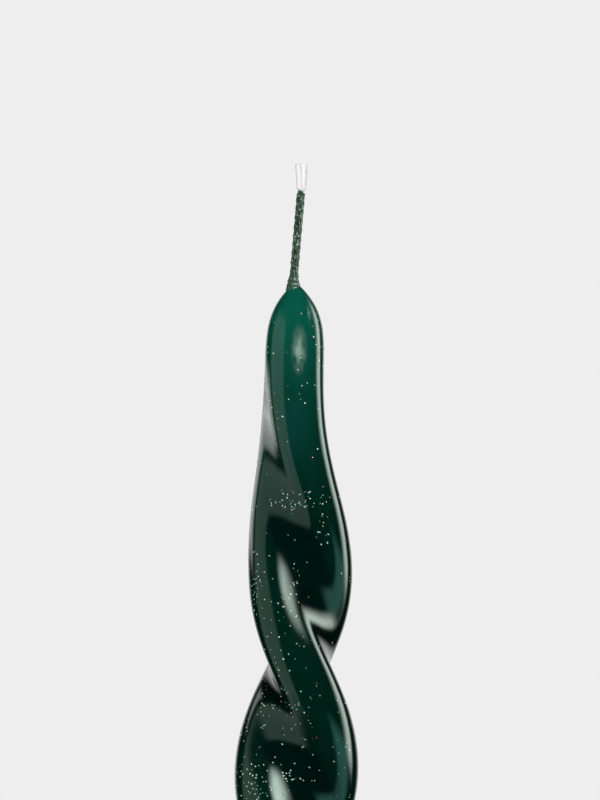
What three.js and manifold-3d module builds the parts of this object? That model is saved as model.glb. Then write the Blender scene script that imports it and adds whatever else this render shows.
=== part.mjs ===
// A spiral taper candle, in millimetres, +Z up, standing on its foot at the origin.
// A round taper was rolled flat while warm and then twisted to the left, so its section is a flat bar with
// round edges and slightly hollow faces, that turns on the way down and goes back to round at the foot,
// where a candle holder grips it.
// The pale core is over-dipped with a dark green skin. Three cotton bundles, plaited, make the wick, and a
// thin coat of the same green wax stiffens the wick above the shoulder and leaves its tip bare.
import * as THREE from "three";
import { mergeVertices } from "three/addons/utils/BufferGeometryUtils.js";
import Module from "manifold-3d";

// Body. Every depth below is measured down from the top of the shoulder.
const BODY_HEIGHT = 240;
const TIP_RADIUS = 6.63; // of the round rod that the tip was rolled from
const BODY_RADIUS = 13.1; // of the same rod where its taper ends
const TAPER_LENGTH = 180;
const SHOULDER_HEIGHT = 22;
const SHOULDER_POWER = 4; // higher makes the shoulder blunter
const FLATTENED_RATIO = 0.6; // thickness over width of the section
const FLATTEN_LENGTH = 59.3; // depth over which the section goes from round to flattened
const FACE_CROWN = 0.01; // how far the faces would bulge without their hollow, over their half length
const FACE_HOLLOW = 0.223; // depth of the hollow in the middle of each face, over the same half length
const EDGE_CROWDING = 0.6; // higher puts more of a section's corners on its round edges

// Twist.
const TWIST_LENGTH = 97.85; // depth for a whole turn
const TWIST_LEAD = 13.4; // how far above the tip the twist would have begun
const TWIST_EASE = 109; // length over which the twist gathers its full rate
const CREST_ANGLE = THREE.MathUtils.degToRad(84.5); // of the section's wide axis before the twist

// Round foot for the holder.
const SHANK_RADIUS = 11;
const SHANK_HEIGHT = 22;
const SHANK_BLEND = 30; // height over which the twisted section becomes the round foot

// The body leaves its straight axis a little twice, to the left and to the right, as hand-twisted wax does.
const LEFT_BOW = { depth: 39, reach: 34, offset: -0.98 };
const RIGHT_BOW = { depth: 72, reach: 66, offset: 1.2 };

// Skin.
const SKIN_THICKNESS = 1;
const SKIN_FOOT_GAP = 1; // the skin stops short of the cut foot
const SEAT_GAP = 0.3; // between pieces that lie against each other

// Wick.
const EXPOSED_WICK = 28.4;
const BARE_TIP = 7.1;
const WICK_FOOT_RECESS = 0.5; // the wick is cut off a little inside the foot
const STRAND_DIAMETER = 0.52;
const STRAND_GAP = 0.02;
const PLAIT_LENGTH = 6.4; // height for one strand to come back to its place
const BURIED_PLAIT_LENGTH = 30; // the same inside the wax, where nothing shows
const SWING_RATIO = 0.92; // sideways swing over strand spacing: lower lets crossing strands touch
const DEPTH_RATIO = 0.84; // front-to-back swing over sideways swing
const COTTON_SWELL = 0.5; // share by which cotton free of wax is thicker
const TIP_FRAY = 0.5; // share that the cut end adds to that
const SWELL_LENGTH = 1.2;

// Where the wick stands.
const WICK_OFFSET = -0.5; // from the middle of the shoulder
const OFFSET_FADE = 40; // depth at which the wick has come back to the middle
const WICK_LEAN = 0.086; // sideways per unit of height
const HOOK_HEIGHT = 10; // of the upper stretch that leans back
const WICK_HOOK = 0.74; // how far that stretch brings the tip back

// Wax on the exposed wick.
const WICK_CLEARANCE = 0.06;
const WAX_COAT = 0.23;
const FOOT_FLARE = 0.45; // added to the coat's radius where it meets the shoulder
const FOOT_HEIGHT = 6.5;

// Facets.
const SKIN_SIDES = 32;
const CORE_SIDES = 24;
const SHOULDER_ROWS = 7;
const BODY_ROWS = 44;
const TUBE_SIDES = 14;
const BORE_ROWS = 32;
const COAT_ROWS = 14;
const STRAND_SIDES = 5;
const ROWS_PER_PLAIT = 12;

const TURN = 2 * Math.PI;
const STRAND_COUNT = 3;
const OVERSHOOT = 1; // how far a cutting tool runs past what it cuts
const CORE_INSET = SKIN_THICKNESS + SEAT_GAP;

const plaitSwing = SWING_RATIO * (STRAND_DIAMETER + STRAND_GAP);
const plaitDepth = DEPTH_RATIO * plaitSwing;
const wickReach = plaitSwing + STRAND_DIAMETER / 2;
const coreBoreRadius = wickReach + SEAT_GAP;
const coatBoreRadius = wickReach + WICK_CLEARANCE;
const coatRadius = coatBoreRadius + WAX_COAT;
const coatFootRadius = coatRadius + FOOT_FLARE;
const skinOpeningRadius = coatFootRadius + SEAT_GAP;
const coatTop = EXPOSED_WICK - BARE_TIP;

const wasm = await Module();
wasm.setup();

const { clamp, lerp } = THREE.MathUtils;

// Goes from 0 to 1 with no slope at either end.
function ease(share) {
  const inside = clamp(share, 0, 1);
  return inside * inside * (3 - 2 * inside);
}

// The same curve gathered up, which is how far something has gone whose rate follows ease over a length.
function gathered(distance, length) {
  const inside = clamp(distance / length, 0, 1);
  const whileEasing = length * (inside ** 3 - inside ** 4 / 2);
  return whileEasing + Math.max(distance - length, 0);
}

// 0 in the twisted body and 1 in the round foot.
function footShare(depth) {
  const blendTop = BODY_HEIGHT - SHANK_HEIGHT - SHANK_BLEND;
  return ease((depth - blendTop) / SHANK_BLEND);
}

// Radius of the round rod that the section was rolled from, whose area it keeps.
function rodRadius(depth) {
  const along = clamp(depth / TAPER_LENGTH, 0, 1);
  const tapered = lerp(TIP_RADIUS, BODY_RADIUS, Math.sin((along * Math.PI) / 2));
  return lerp(tapered, SHANK_RADIUS, footShare(depth));
}

// Thickness over width: 1 is round.
function sectionRatio(depth) {
  const flattened = ease(depth / FLATTEN_LENGTH) * (1 - footShare(depth));
  return lerp(1, FLATTENED_RATIO, flattened);
}

function twistAngle(depth) {
  return CREST_ANGLE + (TURN / TWIST_LENGTH) * gathered(depth + TWIST_LEAD, TWIST_EASE);
}

// Share of the full section that the rounded shoulder leaves.
function shoulder(depth) {
  return 1 - (1 - clamp(depth / SHOULDER_HEIGHT, 0, 1)) ** SHOULDER_POWER;
}

// Depth at which the shoulder, seen this far inside the surface, has the given radius.
function shoulderDepth(radius, inset) {
  const share = clamp(radius / (TIP_RADIUS - inset), 0, 1);
  return inset + SHOULDER_HEIGHT * (1 - (1 - share) ** (1 / SHOULDER_POWER));
}

function bowOffset(bow, depth) {
  const away = clamp(Math.abs(depth - bow.depth) / bow.reach, 0, 1);
  return bow.offset * Math.cos((away * Math.PI) / 2) ** 2;
}

function bodyCentre(depth) {
  return bowOffset(LEFT_BOW, depth) + bowOffset(RIGHT_BOW, depth);
}

// Half the width of a flat bar with round edges that has the round rod's area.
function halfWidth(rod, ratio) {
  return rod * Math.sqrt(Math.PI / (4 * ratio - (4 - Math.PI) * ratio * ratio));
}

// A point of the section at an angle from its wide axis, the given distance inside its surface. The section
// is a long flat oval, grown by the radius of the round edges and then hollowed along both faces.
function sectionPoint(wide, ratio, inset, even) {
  const face = (wide * (1 - ratio)) / (1 - FACE_CROWN);
  const edge = wide - face - inset;
  const around = even - (EDGE_CROWDING * Math.sin(4 * even)) / 4;
  const along = Math.cos(around);
  const across = Math.sin(around);
  const onOval = Math.hypot(along, Math.sqrt(FACE_CROWN) * across);
  const onEdge = Math.hypot(Math.sqrt(FACE_CROWN) * along, across);
  const reach = (face * along) / onOval + (edge * Math.sqrt(FACE_CROWN) * along) / onEdge;
  const bulge = (FACE_CROWN ** 1.5 * face * across) / onOval + (edge * across) / onEdge;
  const middle = (1 - Math.min(Math.abs(reach) / wide, 1) ** 2) ** 2;
  const hollow = (FACE_HOLLOW * face * middle * across) / onEdge;
  return new THREE.Vector2(reach, bulge - hollow);
}

// One level section of the body.
function bodyRing(depth, inset, sides) {
  const ratio = sectionRatio(depth);
  const wide = halfWidth(rodRadius(depth), ratio);
  const middle = new THREE.Vector2(bodyCentre(depth), 0);
  return Array.from({ length: sides }, (_, side) => {
    const point = sectionPoint(wide, ratio, inset, (side / sides) * TURN);
    point.multiplyScalar(shoulder(depth - inset)).add(middle).rotateAround(middle, twistAngle(depth));
    return new THREE.Vector3(point.x, point.y, BODY_HEIGHT - depth);
  });
}

// Sideways place of the wick at a height over the top of the shoulder, which is negative inside the body.
function wickCentre(height) {
  if (height < 0) {
    return bodyCentre(-height) + WICK_OFFSET * (1 - ease(-height / OFFSET_FADE));
  }
  const hooked = Math.max(height - (EXPOSED_WICK - HOOK_HEIGHT), 0) / HOOK_HEIGHT;
  return WICK_OFFSET + WICK_LEAN * height - WICK_HOOK * hooked * hooked;
}

function roundRing(x, y, z, radius, sides) {
  return Array.from({ length: sides }, (_, side) => {
    const around = (side / sides) * TURN;
    return new THREE.Vector3(x + radius * Math.cos(around), y + radius * Math.sin(around), z);
  });
}

// Evenly spaced values from the first to the last, both included.
function spaced(first, last, steps) {
  return Array.from({ length: steps + 1 }, (_, step) => lerp(first, last, step / steps));
}

// Rings listed upwards, each anticlockwise seen from above, become one closed mesh with a fan at each end.
function loft(rings) {
  const sides = rings[0].length;
  const points = rings.flat();
  const faces = [];
  for (let row = 0; row + 1 < rings.length; row += 1) {
    for (let side = 0; side < sides; side += 1) {
      const next = (side + 1) % sides;
      const low = row * sides;
      const high = low + sides;
      faces.push(low + side, low + next, high + next);
      faces.push(low + side, high + next, high + side);
    }
  }
  const bottomMiddle = points.length;
  const topMiddle = bottomMiddle + 1;
  const topStart = (rings.length - 1) * sides;
  points.push(middleOf(rings[0]), middleOf(rings[rings.length - 1]));
  for (let side = 0; side < sides; side += 1) {
    const next = (side + 1) % sides;
    faces.push(bottomMiddle, next, side);
    faces.push(topMiddle, topStart + side, topStart + next);
  }
  const geometry = new THREE.BufferGeometry().setFromPoints(points);
  geometry.setIndex(faces);
  return geometry;
}

function middleOf(ring) {
  const sum = ring.reduce((total, point) => total.add(point), new THREE.Vector3());
  return sum.divideScalar(ring.length);
}

// Takes one closed mesh away from another.
function cut(geometry, tool) {
  return geometryOf(solidOf(geometry).subtract(solidOf(tool)));
}

function solidOf(geometry) {
  const merged = mergeVertices(geometry);
  const vertProperties = new Float32Array(merged.getAttribute("position").array);
  const triVerts = new Uint32Array(merged.index.array);
  return new wasm.Manifold(new wasm.Mesh({ numProp: 3, vertProperties, triVerts }));
}

function geometryOf(solid) {
  const { vertProperties, triVerts } = solid.getMesh();
  const geometry = new THREE.BufferGeometry();
  geometry.setAttribute("position", new THREE.BufferAttribute(vertProperties, 3));
  geometry.setIndex(new THREE.BufferAttribute(triVerts, 1));
  return geometry;
}

// The body from one depth down to another, as seen the given distance inside its surface. Under the
// shoulder all its lofts share their levels, so that pieces against each other have parallel facets.
function bodyLoft({ top, bottom, inset, sides }) {
  const shoulderFoot = SHOULDER_HEIGHT + CORE_INSET;
  const upper = spaced(0, 1, SHOULDER_ROWS).map((share) => lerp(top, shoulderFoot, share ** 2));
  const lower = spaced(shoulderFoot, BODY_HEIGHT, BODY_ROWS).filter(
    (depth) => depth > shoulderFoot && depth < bottom,
  );
  const rings = [...upper, ...lower, bottom].map((depth) => bodyRing(depth, inset, sides));
  return loft(rings.reverse());
}

// A tube along the wick, between two heights over the top of the shoulder.
function wickTube(bottom, top, rows, radiusAt) {
  const rings = spaced(bottom, top, rows).map((height) =>
    roundRing(wickCentre(height), 0, BODY_HEIGHT + height, radiusAt(height), TUBE_SIDES),
  );
  return loft(rings);
}

// Depth of the flat top of the core, which the coat's foot stands on.
function coreTop() {
  return shoulderDepth(skinOpeningRadius + Math.abs(WICK_OFFSET), CORE_INSET);
}

function makeCore() {
  const body = bodyLoft({
    top: coreTop(),
    bottom: BODY_HEIGHT,
    inset: CORE_INSET,
    sides: CORE_SIDES,
  });
  const bore = wickTube(-BODY_HEIGHT - OVERSHOOT, OVERSHOOT, BORE_ROWS, () => coreBoreRadius);
  return cut(body, bore);
}

function makeSkin() {
  const outside = bodyLoft({
    top: shoulderDepth(coatRadius, 0),
    bottom: BODY_HEIGHT - SKIN_FOOT_GAP,
    inset: 0,
    sides: SKIN_SIDES,
  });
  const inside = bodyLoft({
    top: shoulderDepth(coatRadius, SKIN_THICKNESS),
    bottom: BODY_HEIGHT + OVERSHOOT,
    inset: SKIN_THICKNESS,
    sides: CORE_SIDES,
  });
  const opening = wickTube(-SHOULDER_HEIGHT / 2, OVERSHOOT, 2, () => skinOpeningRadius);
  return cut(cut(outside, inside), opening);
}

// How much thicker than in the wax the cotton is at a height.
function cottonSwell(height) {
  const overCoat = Math.max(height - coatTop, 0);
  return 1 + COTTON_SWELL * ease(overCoat / SWELL_LENGTH) + TIP_FRAY * (overCoat / BARE_TIP);
}

function strandRing(height, strand) {
  const plait = height < 0 ? BURIED_PLAIT_LENGTH : PLAIT_LENGTH;
  const phase = TURN * (height / plait + strand / STRAND_COUNT);
  const swell = cottonSwell(height);
  const x = wickCentre(height) + swell * plaitSwing * Math.sin(phase);
  const y = swell * plaitDepth * Math.sin(2 * phase);
  return roundRing(x, y, BODY_HEIGHT + height, (swell * STRAND_DIAMETER) / 2, STRAND_SIDES);
}

function makeStrand(strand) {
  const bottom = WICK_FOOT_RECESS - BODY_HEIGHT;
  const buriedRows = Math.round((-bottom / BURIED_PLAIT_LENGTH) * ROWS_PER_PLAIT);
  const exposedRows = Math.round((EXPOSED_WICK / PLAIT_LENGTH) * ROWS_PER_PLAIT);
  const heights = [...spaced(bottom, 0, buriedRows), ...spaced(0, EXPOSED_WICK, exposedRows).slice(1)];
  return loft(heights.map((height) => strandRing(height, strand)));
}

// The coat of wax on the exposed wick, flared where it runs out on the shoulder.
function makeCoat() {
  const foot = SEAT_GAP - coreTop();
  const flare = (height) => FOOT_FLARE * (1 - ease((height - foot) / (FOOT_HEIGHT - foot)));
  const outside = wickTube(foot, coatTop, COAT_ROWS, (height) => coatRadius + flare(height));
  const bore = wickTube(foot - OVERSHOOT, coatTop + OVERSHOOT, COAT_ROWS, () => coatBoreRadius);
  return cut(outside, bore);
}

function pieceOf(name, geometry, color, roughness) {
  geometry.computeVertexNormals();
  const material = new THREE.MeshStandardMaterial({ color, roughness, metalness: 0 });
  const mesh = new THREE.Mesh(geometry, material);
  mesh.name = name;
  return mesh;
}

const body = new THREE.Group();
body.add(pieceOf("wax_core", makeCore(), 0xe8e0c8, 0.55));
body.add(pieceOf("dyed_skin", makeSkin(), 0x06382b, 0.12));

const wick = new THREE.Group();
["wick_strand_a", "wick_strand_b", "wick_strand_c"].forEach((name, strand) => {
  wick.add(pieceOf(name, makeStrand(strand), 0xf0eee6, 0.95));
});
wick.add(pieceOf("wick_wax_sleeve", makeCoat(), 0x4f8a68, 0.35));

const candle = new THREE.Group();
candle.add(body, wick);

export default candle;
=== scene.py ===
"""Looks of a spiral taper candle: dark green lacquered wax with fine glitter and a plaited, waxed wick.

All lengths are in metres. +Z runs up the candle, and -Y is the side that the camera sees. In the shapes,
depth is measured down from the top of the shoulder, and height up from there along the wick. In the finishes,
in the spills of glitter and for the lights, height is measured from the foot.
"""

import logging
import math
from dataclasses import dataclass, field, fields
from enum import Enum
from typing import Iterable, Union

import bpy
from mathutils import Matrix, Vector


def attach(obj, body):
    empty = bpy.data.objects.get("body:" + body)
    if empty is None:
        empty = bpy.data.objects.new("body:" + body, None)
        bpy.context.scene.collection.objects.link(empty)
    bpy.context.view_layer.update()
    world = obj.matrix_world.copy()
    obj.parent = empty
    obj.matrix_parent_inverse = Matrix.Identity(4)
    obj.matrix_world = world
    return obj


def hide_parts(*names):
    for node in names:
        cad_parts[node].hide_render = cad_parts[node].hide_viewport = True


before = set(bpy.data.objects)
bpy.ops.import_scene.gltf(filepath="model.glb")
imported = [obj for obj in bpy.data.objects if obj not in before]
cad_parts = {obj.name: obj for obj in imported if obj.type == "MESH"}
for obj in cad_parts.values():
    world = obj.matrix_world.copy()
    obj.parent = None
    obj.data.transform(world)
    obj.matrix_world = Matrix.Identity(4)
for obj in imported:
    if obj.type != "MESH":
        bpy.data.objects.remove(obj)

LOG = logging.getLogger("candle")
MM = 0.001
TURN = 2 * math.pi
WELD = 0.0005 * MM
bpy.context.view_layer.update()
BODY = "root"

Colour = tuple[float, float, float]
Span = tuple[float, float]
Value = Union["Field", float]
Setting = Union["Field", float, str, Colour, bpy.types.Material]


# Arithmetic in node trees


class Field:
    """A value that varies over a shape or a surface. Arithmetic on it adds Math nodes to its tree."""

    def __init__(self, socket: bpy.types.NodeSocket) -> None:
        """Wraps an output socket.

        Args:
            socket: the output that carries the value.
        """
        self.socket = socket
        self.tree = socket.id_data

    def __add__(self, other: Value) -> "Field":
        """This value plus another."""
        return calculate("ADD", self, other)

    __radd__ = __add__

    def __sub__(self, other: Value) -> "Field":
        """This value less another."""
        return calculate("SUBTRACT", self, other)

    def __rsub__(self, other: float) -> "Field":
        """A number less this value."""
        return calculate("SUBTRACT", other, self)

    def __mul__(self, other: Value) -> "Field":
        """This value times another."""
        return calculate("MULTIPLY", self, other)

    __rmul__ = __mul__

    def __truediv__(self, other: Value) -> "Field":
        """This value divided by another."""
        return calculate("DIVIDE", self, other)

    def __rtruediv__(self, other: float) -> "Field":
        """A number divided by this value."""
        return calculate("DIVIDE", other, self)

    def __pow__(self, exponent: Value) -> "Field":
        """This value raised to a power."""
        return calculate("POWER", self, exponent)

    def __neg__(self) -> "Field":
        """This value with its sign changed."""
        return calculate("MULTIPLY", self, -1.0)


def plug(value: Setting, socket: bpy.types.NodeSocket) -> None:
    """Links a field into a socket, or sets a plain value on it.

    Args:
        value: the field, number, name, colour or material.
        socket: the input that takes it.
    """
    if isinstance(value, Field):
        value.tree.links.new(value.socket, socket)
    elif socket.type == "RGBA":
        socket.default_value = (*value, 1.0)
    else:
        socket.default_value = value


def entry(node: bpy.types.Node, name: str) -> bpy.types.NodeSocket:
    """A node's input, by its identifier with an underscore for each space."""
    return next(socket for socket in node.inputs if socket.identifier.replace(" ", "_") == name)


def calculate(operation: str, *values: Value, clamp: bool = False) -> Field:
    """Adds one Math node.

    Args:
        operation: the Math node's operation.
        values: its inputs, at least one of them a field.
        clamp: whether the result stays between 0 and 1.

    Returns:
        The node's result.
    """
    tree = next(value.tree for value in values if isinstance(value, Field))
    node = tree.nodes.new("ShaderNodeMath")
    node.operation = operation
    node.use_clamp = clamp
    for value, socket in zip(values, node.inputs):
        plug(value, socket)
    return Field(node.outputs[0])


def sine(angle: Field) -> Field:
    """Sine of an angle in radians."""
    return calculate("SINE", angle)


def cosine(angle: Field) -> Field:
    """Cosine of an angle in radians."""
    return calculate("COSINE", angle)


def no_less(value: Value, limit: Value) -> Field:
    """The value, or the limit where the value is below it."""
    return calculate("MAXIMUM", value, limit)


def root(value: Field) -> Field:
    """Square root, of nothing below zero."""
    return calculate("SQRT", no_less(value, 0.0))


def size_of(value: Field) -> Field:
    """The value without its sign."""
    return calculate("ABSOLUTE", value)


def above(value: Value, limit: Value) -> Field:
    """1 where the value is above the limit, and 0 elsewhere."""
    return calculate("GREATER_THAN", value, limit)


def share(value: Field) -> Field:
    """The value kept between 0 and 1."""
    return calculate("MULTIPLY", value, 1.0, clamp=True)


def ramp(value: Field, low: float, high: float) -> Field:
    """How far the value has come from low to high, kept between 0 and 1."""
    return share((value - low) / (high - low))


def between(start: Value, end: Value, part: Field) -> Field:
    """The value that lies a given part of the way from start to end."""
    return start + (end - start) * part


def ease(value: Field) -> Field:
    """A smooth step from 0 to 1 as the value goes from 0 to 1."""
    part = share(value)
    return part * part * (3.0 - 2.0 * part)


class Nodes:
    """A node tree, with short calls that add nodes and link them."""

    def __init__(self, tree: bpy.types.NodeTree) -> None:
        """Takes a tree and empties it.

        Args:
            tree: the tree.
        """
        self.tree = tree
        tree.nodes.clear()

    def node(self, kind: str, options: dict[str, str] | None = None, **inputs: Setting) -> bpy.types.Node:
        """Adds a node.

        Args:
            kind: the node's type.
            options: properties to set on the node.
            inputs: fields or values for its sockets, by identifier, with an underscore for each space.

        Returns:
            The new node.
        """
        node = self.tree.nodes.new(kind)
        for option, setting in (options or {}).items():
            setattr(node, option, setting)
        for name, value in inputs.items():
            plug(value, entry(node, name))
        return node

    def made(self, kind: str, options: dict[str, str] | None = None, **inputs: Setting) -> Field:
        """Adds a node and gives its first output."""
        return Field(self.node(kind, options, **inputs).outputs[0])

    def parts(self, vector: Field) -> list[Field]:
        """The X, Y and Z of a vector."""
        return [Field(output) for output in self.node("ShaderNodeSeparateXYZ", Vector=vector).outputs]


# Geometry Nodes


@dataclass(frozen=True)
class Sheet:
    """A flat grid that becomes a closed wall. Its rows run along the outside, and then back along the inside.

    Around is the angle round the wall. The parts are the shares of the way along the outside, and along the
    inside from its end. Returning is 1 on all the rows that run back, and inside is 1 on all of them but the
    last, which closes the wall."""

    grid: Field
    around: Field
    outer_part: Field
    inner_part: Field
    returning: Field
    inside: Field


class ShapeTree(Nodes):
    """A Geometry Nodes tree with a named input for each size of the pieces that it makes."""

    def __init__(self, name: str, *size_sets: object, reads_mesh: bool = False) -> None:
        """Starts a tree whose inputs are the number fields of the given dataclasses.

        Args:
            name: the tree's name.
            size_sets: dataclass instances that hold the sizes.
            reads_mesh: whether the tree works on the mesh of the object that carries it.
        """
        super().__init__(bpy.data.node_groups.new(name, "GeometryNodeTree"))
        face = self.tree.interface
        if reads_mesh:
            face.new_socket(name="Geometry", in_out="INPUT", socket_type="NodeSocketGeometry")
        self.values: dict[str, float] = {}
        labels: dict[str, str] = {}
        for size_set in size_sets:
            for size in fields(size_set):
                value = getattr(size_set, size.name)
                if not isinstance(value, (int, float)):
                    continue
                kind = "NodeSocketInt" if isinstance(value, int) else "NodeSocketFloat"
                label = size.name.replace("_", " ").capitalize()
                socket = face.new_socket(name=label, in_out="INPUT", socket_type=kind)
                self.values[socket.identifier] = value
                labels[socket.identifier] = size.name
        face.new_socket(name="Geometry", in_out="OUTPUT", socket_type="NodeSocketGeometry")
        self.inputs = self.node("NodeGroupInput")
        outputs = (output for output in self.inputs.outputs if output.identifier in labels)
        self.sizes = {labels[output.identifier]: Field(output) for output in outputs}

    def __getitem__(self, size: str) -> Field:
        """The tree's input for a size, by the dataclass field's name."""
        return self.sizes[size]

    def position(self) -> list[Field]:
        """The X, Y and Z of a point's place."""
        return self.parts(self.made("GeometryNodeInputPosition"))

    def vector(self, x: Value, y: Value, z: Value) -> Field:
        """Three values as one vector."""
        return self.made("ShaderNodeCombineXYZ", X=x, Y=y, Z=z)

    def kept(self, geometry: Field, name: str, value: Field, domain: str = "POINT") -> Field:
        """Stores a value on the geometry for the material to read.

        Args:
            geometry: the mesh or the instances.
            name: the attribute's name.
            value: the value to store.
            domain: what each value belongs to.

        Returns:
            The geometry with the attribute.
        """
        options = {"data_type": "FLOAT", "domain": domain}
        kind = "GeometryNodeStoreNamedAttribute"
        return self.made(kind, options, Geometry=geometry, Name=name, Value=value)

    def sheet(self) -> Sheet:
        """Makes the flat grid for a closed wall, from the sizes named sides, outer_rows and inner_rows.

        Returns:
            The grid, and where each of its points lies on the wall.
        """
        rows = self["outer_rows"] + self["inner_rows"]
        counts = {"Vertices_X": self["sides"] + 1.0, "Vertices_Y": rows + 1.0}
        grid = self.made("GeometryNodeMeshGrid", Size_X=1.0, Size_Y=1.0, **counts)
        across, along, _ = self.position()
        row = (along + 0.5) * rows
        returning = above(row, self["outer_rows"] + 0.5)
        return Sheet(
            grid=grid,
            around=(across + 0.5) * TURN,
            outer_part=row / self["outer_rows"],
            inner_part=(rows - row) / self["inner_rows"],
            returning=returning,
            inside=returning * above(rows - 0.5, row),
        )

    def bent(self, sheet: Field, place: Field) -> Field:
        """The sheet with its points moved to their places and its edges joined."""
        moved = self.made("GeometryNodeSetPosition", Geometry=sheet, Position=place)
        return self.made("GeometryNodeMergeByDistance", Geometry=moved, Distance=WELD)

    def finish(self, geometry: Field, material: bpy.types.Material) -> None:
        """Ends the tree with real geometry that wears the material.

        Args:
            geometry: what the tree has made.
            material: the piece's finish.
        """
        real = self.made("GeometryNodeRealizeInstances", Geometry=geometry)
        dressed = self.made("GeometryNodeSetMaterial", Geometry=real, Material=material)
        plug(dressed, self.node("NodeGroupOutput").inputs[0])

    def make(self, name: str, host: bpy.types.Mesh | None = None, crease: float = 40.0) -> bpy.types.Object:
        """Evaluates the tree and keeps its result as a plain mesh.

        Args:
            name: the new piece's name.
            host: the mesh that the tree works on, where it reads one.
            crease: the angle between faces, in degrees, above which their edge is sharp.

        Returns:
            The piece, at the origin, with no modifier.
        """
        start = host.copy() if host else bpy.data.meshes.new(name + "_start")
        piece = bpy.data.objects.new(name, start)
        bpy.context.scene.collection.objects.link(piece)
        modifier = piece.modifiers.new("shape", "NODES")
        modifier.node_group = self.tree
        for identifier, value in self.values.items():
            modifier[identifier] = value
        graph = bpy.context.evaluated_depsgraph_get()
        ready = piece.evaluated_get(graph)
        mesh = bpy.data.meshes.new_from_object(ready, preserve_all_data_layers=True, depsgraph=graph)
        piece.modifiers.remove(modifier)
        piece.data = mesh
        mesh.name = name
        bpy.data.meshes.remove(start)
        mesh.shade_smooth()
        mesh.set_sharp_from_angle(angle=math.radians(crease))
        return piece


def settle(piece: bpy.types.Object, slot: str, nodes: Iterable[str] = ()) -> None:
    """Hangs a finished piece under the body, hides the CAD nodes that it stands for, and reports it.

    Args:
        piece: the finished piece.
        slot: the material slot's name, which is only reported.
        nodes: the CAD nodes that it stands for.
    """
    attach(piece, BODY)
    if nodes:
        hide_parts(*nodes)
    LOG.info("%s: %d faces, finish %s", piece.name, len(piece.data.polygons), slot)


# Finishes


@dataclass(frozen=True)
class Pattern:
    """A cloudy pattern. Its grain is the size of its spots across the candle, which are stretched along it.
    Detail counts its finer layers, roughness is their strength, and it is spread between its low and high."""

    grain: float
    detail: float = 3.0
    stretch: float = 1.0
    roughness: float = 0.5
    low: float = 0.0
    high: float = 1.0


class Paint(Nodes):
    """A material's node tree, with the patterns that the finishes share."""

    def __init__(self, name: str) -> None:
        """Starts a material with one shader.

        Args:
            name: the material's name.
        """
        self.material = bpy.data.materials.new(name)
        self.material.use_nodes = True
        super().__init__(self.material.node_tree)
        self.place = Field(self.node("ShaderNodeTexCoord").outputs["Object"])
        self.shader = self.node("ShaderNodeBsdfPrincipled")
        self.node("ShaderNodeOutputMaterial", Surface=Field(self.shader.outputs[0]))

    def position(self) -> list[Field]:
        """The X, Y and Z of a point's place on the candle."""
        return self.parts(self.place)

    def height(self) -> Field:
        """How high a point is above the candle's foot."""
        return self.position()[2]

    def stored(self, name: str) -> Field:
        """A value that the shape tree stored on the mesh."""
        return Field(self.node("ShaderNodeAttribute", {"attribute_name": name}).outputs["Fac"])

    def noise(self, pattern: Pattern) -> Field:
        """A pattern's plain value, around 0.5.

        Args:
            pattern: the pattern.

        Returns:
            The value.
        """
        scale = (1.0, 1.0, 1.0 / pattern.stretch)
        place = self.made("ShaderNodeMapping", Vector=self.place, Scale=scale)
        sizes = {"Scale": 1.0 / pattern.grain, "Detail": pattern.detail, "Roughness": pattern.roughness}
        return self.made("ShaderNodeTexNoise", Vector=place, **sizes)

    def spread(self, pattern: Pattern) -> Field:
        """A pattern's value spread from 0 at its low to 1 at its high."""
        return ramp(self.noise(pattern), pattern.low, pattern.high)

    def mix(self, start: Field | Colour, end: Field | Colour, part: Field) -> Field:
        """A colour part of the way from one to another.

        Args:
            start: the colour where part is 0.
            end: the colour where part is 1.
            part: how far along, from 0 to 1.

        Returns:
            The mixed colour.
        """
        ends = {"A_Color": start, "B_Color": end}
        node = self.node("ShaderNodeMix", {"data_type": "RGBA"}, Factor_Float=part, **ends)
        return Field(next(output for output in node.outputs if output.type == "RGBA"))

    def relief(self, height: Field, depth: float) -> None:
        """Bumps the surface, by a depth in metres for each step of 1 in height."""
        self.set(Normal=self.made("ShaderNodeBump", Strength=1.0, Distance=depth, Height=height))

    def set(self, **settings: Setting) -> None:
        """Sets or links the shader's inputs, by name with an underscore for each space."""
        for name, value in settings.items():
            plug(value, entry(self.shader, name))


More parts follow.
